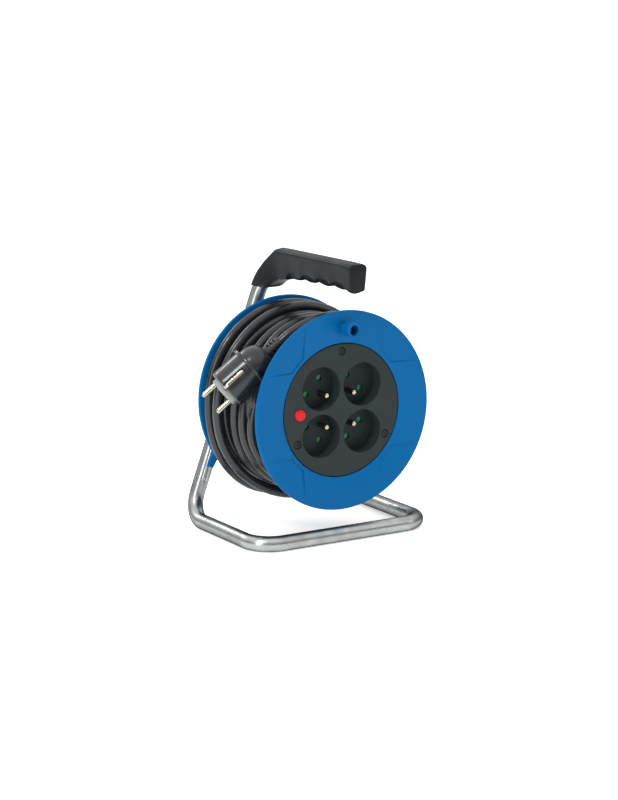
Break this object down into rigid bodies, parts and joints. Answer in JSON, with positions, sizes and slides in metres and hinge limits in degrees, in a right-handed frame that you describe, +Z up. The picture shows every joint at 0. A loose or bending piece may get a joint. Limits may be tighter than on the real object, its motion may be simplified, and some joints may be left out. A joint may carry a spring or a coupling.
{
  "type": "extension cord reel",
  "caption": "Cord reel on a leaning tube frame with a top grip; drum with recessed earthed socket outlets, reset button and winding knob, cord wound on and its plug parked on the turns.",
  "frame": {"origin": "on the floor, below the middle of the reel's width and depth", "axes": "+Z up, +Y from the socket face towards the bearing bracket and the leg, +X to the right when the sockets are seen"},
  "size_m": [0.2133, 0.1628, 0.2527],
  "materials": {
    "tube": "satin light grey coat",
    "blue": "satin blue",
    "grip": "satin dark grey",
    "plate": "fine matt dark grey",
    "black": "matt black",
    "insulator": "matt cream",
    "red": "gloss red",
    "green": "satin green",
    "steel": "zinc plated",
    "nickel": "nickel plated",
    "brass": "plain",
    "cord": "satin black cord sheath",
    "wire": "coloured core insulation",
    "plug": "satin black"
  },
  "bodies": {
    "frame": {"frame_tube": "tube", "tube_end_cap": "black", "handle_grip": "grip", "handle_screw": "steel", "bearing_bracket": "blue", "bracket_screws": "steel", "axle": "steel", "axle_washer": "steel", "axle_screw": "steel"},
    "drum": {"rear_flange": "blue", "drum_core": "blue", "front_flange": "blue", "flange_screws": "steel", "socket_plate": "plate", "contact_carrier": "insulator", "contact_cover": "insulator", "earth_bar": "brass", "earth_pins": "nickel", "line_bar": "brass", "neutral_bar": "brass", "plate_screws": "steel", "thermal_cutout": "black", "reset_spring": "steel", "shutter_springs": "steel", "cable_clamp": "black", "clamp_screws": "steel", "cord_tail": "cord", "lead_wires": "wire", "knob_peg": "steel", "cord_core": "cord", "cord_winding": "cord", "strain_relief": "plug", "plug_body": "plug", "plug_pins": "nickel", "plug_earth_clips": "nickel"},
    "winding_knob": {"winding_knob": "blue"},
    "reset_button": {"reset_button": "red"},
    "shutter_tl": {"shutter_tl": "green"},
    "shutter_tr": {"shutter_tr": "green"},
    "shutter_bl": {"shutter_bl": "green"},
    "shutter_br": {"shutter_br": "green"}
  },
  "joints": [
    {"name": "drum_spin", "type": "hinge", "parent": "frame", "child": "drum", "pos_m": [0, -0.0489, 0.1185], "axis": [0, 1, 0], "range_deg": [-268, 58]},
    {"name": "knob_spin", "type": "hinge", "parent": "drum", "child": "winding_knob", "pos_m": [0, -0.0619, 0.1931], "axis": [0, 1, 0], "continuous": true},
    {"name": "reset_press", "type": "slide", "parent": "drum", "child": "reset_button", "axis": [0, 1, 0], "range_m": [0, 0.002], "stiffness_N_per_m": 600, "springref_m": -0.002},
    {"name": "shutter_tl_slide", "type": "slide", "parent": "drum", "child": "shutter_tl", "axis": [-0.7071, 0, 0.7071], "range_m": [0, 0.0066], "stiffness_N_per_m": 100, "springref_m": -0.001},
    {"name": "shutter_tr_slide", "type": "slide", "parent": "drum", "child": "shutter_tr", "axis": [0.7071, 0, 0.7071], "range_m": [0, 0.0066], "stiffness_N_per_m": 100, "springref_m": -0.001},
    {"name": "shutter_bl_slide", "type": "slide", "parent": "drum", "child": "shutter_bl", "axis": [-0.7071, 0, -0.7071], "range_m": [0, 0.0066], "stiffness_N_per_m": 100, "springref_m": -0.001},
    {"name": "shutter_br_slide", "type": "slide", "parent": "drum", "child": "shutter_br", "axis": [0.7071, 0, -0.7071], "range_m": [0, 0.0066], "stiffness_N_per_m": 100, "springref_m": -0.001}
  ]
}
